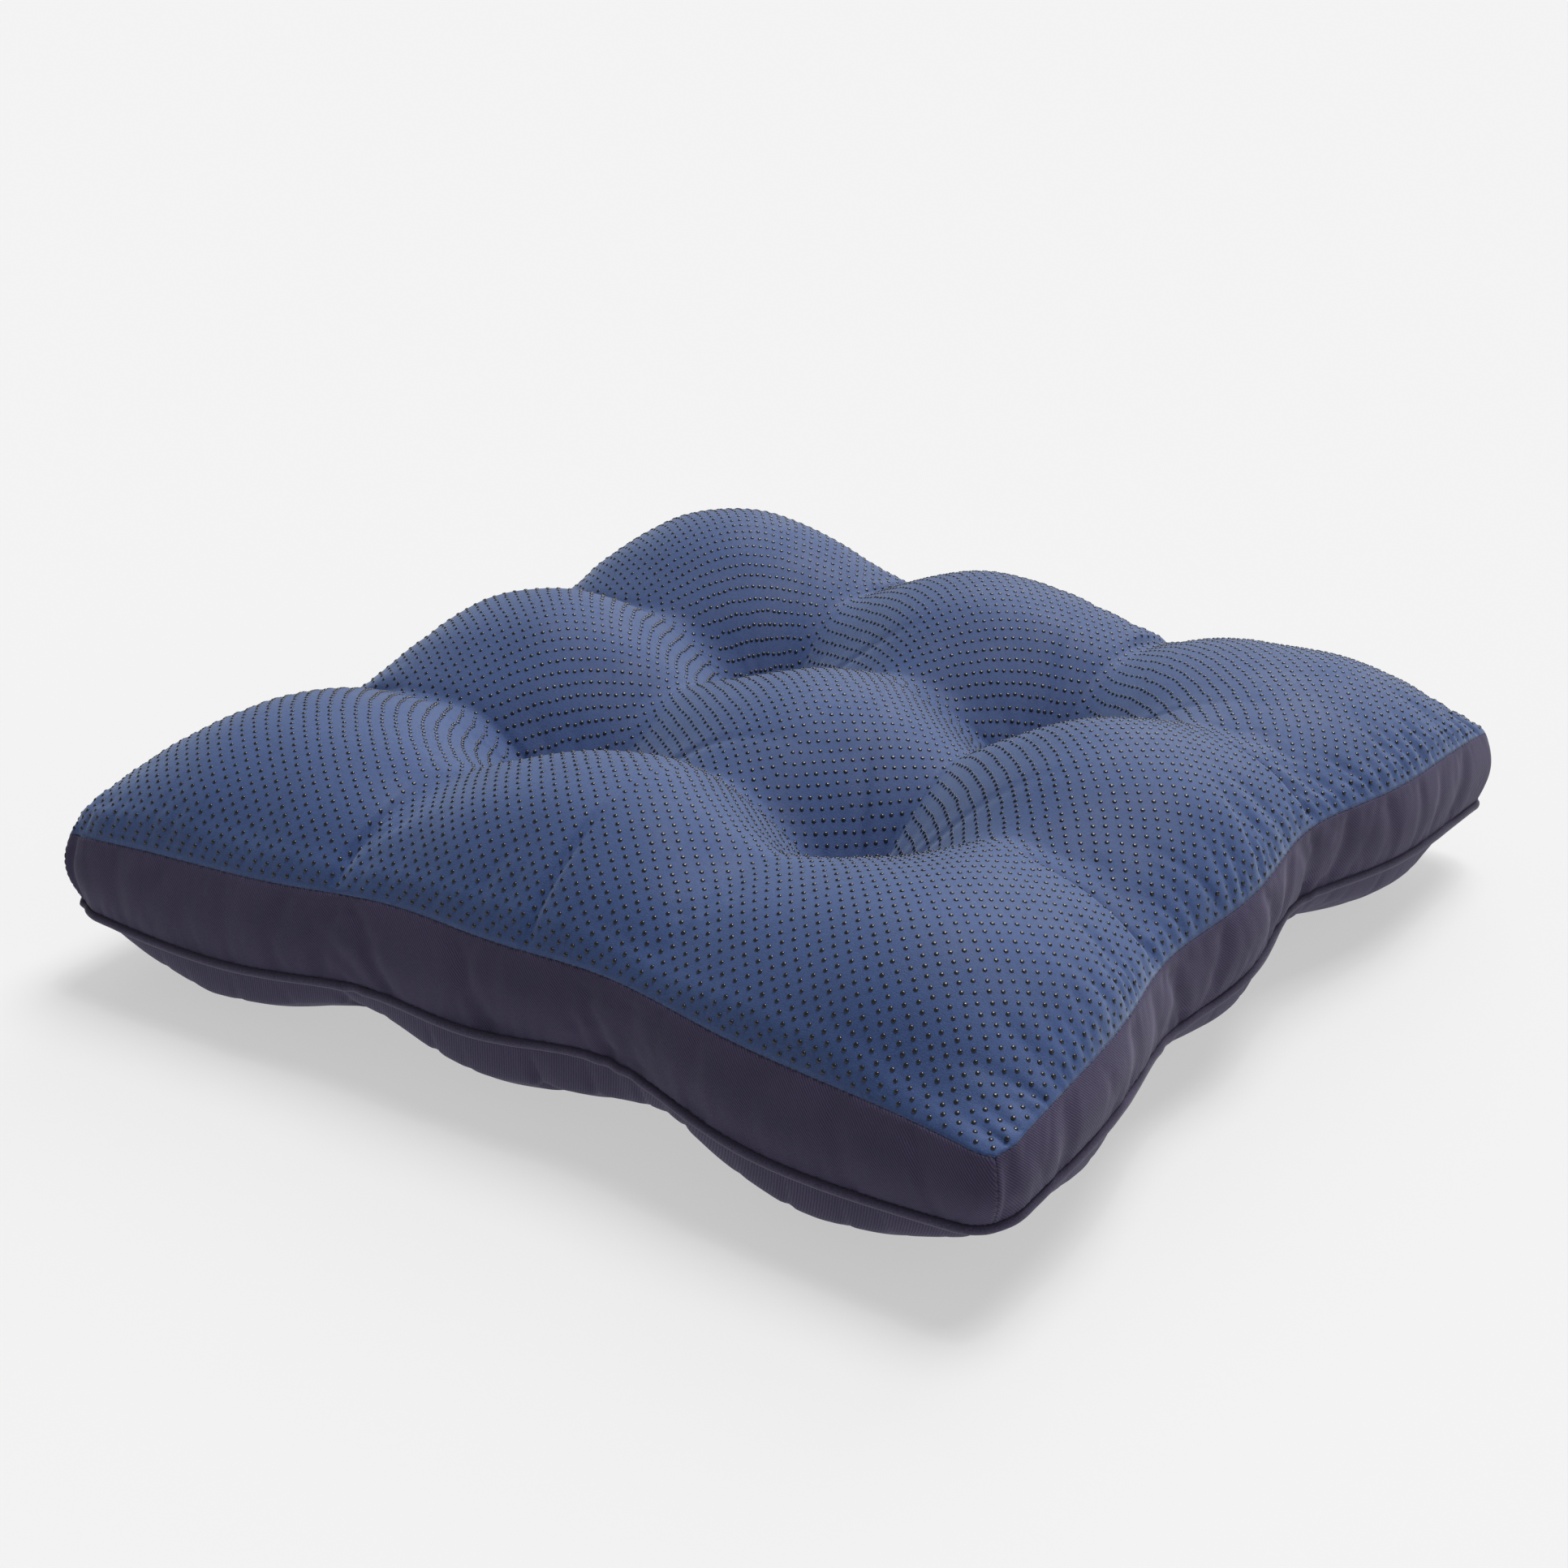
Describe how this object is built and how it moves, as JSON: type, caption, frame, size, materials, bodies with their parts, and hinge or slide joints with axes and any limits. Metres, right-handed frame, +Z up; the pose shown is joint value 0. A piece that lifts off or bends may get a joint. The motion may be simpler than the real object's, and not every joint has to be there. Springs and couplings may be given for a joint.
{
  "type": "seat cushion",
  "caption": "Square tufted box cushion: dotted grip fabric on one face, plain twill sides and back, piped edge and nine soft lobes pulled in by four tufts.",
  "frame": {"origin": "on the floor plane under the middle of the cushion, where the underside lobes rest", "axes": "+Z up through the thickness with the dotted face on top; -Y the front side and +X the right side as seen in the source view"},
  "size_m": [0.4522, 0.4523, 0.1217],
  "materials": {
    "dotted_fabric": "brushed blue cloth with small raised black rubber dots",
    "twill": "fine dark navy twill",
    "polyester_fibre": "loose white fibre",
    "cord": "soft twisted cord",
    "thread": "dark sewing thread"
  },
  "bodies": {
    "root": {"bottom_panel": "twill", "corner_thread_back_left": "thread", "corner_thread_back_right": "thread", "corner_thread_front_left": "thread", "corner_thread_front_right": "thread", "fibre_fill": "polyester_fibre", "gusset_back": "twill", "gusset_front": "twill", "gusset_left": "twill", "gusset_right": "twill", "piping_cord": "cord", "piping_cover": "twill", "piping_seam_thread": "thread", "top_panel": "dotted_fabric", "top_seam_thread": "thread", "tuft_tie_back_left": "thread", "tuft_tie_back_right": "thread", "tuft_tie_front_left": "thread", "tuft_tie_front_right": "thread"}
  },
  "joints": []
}
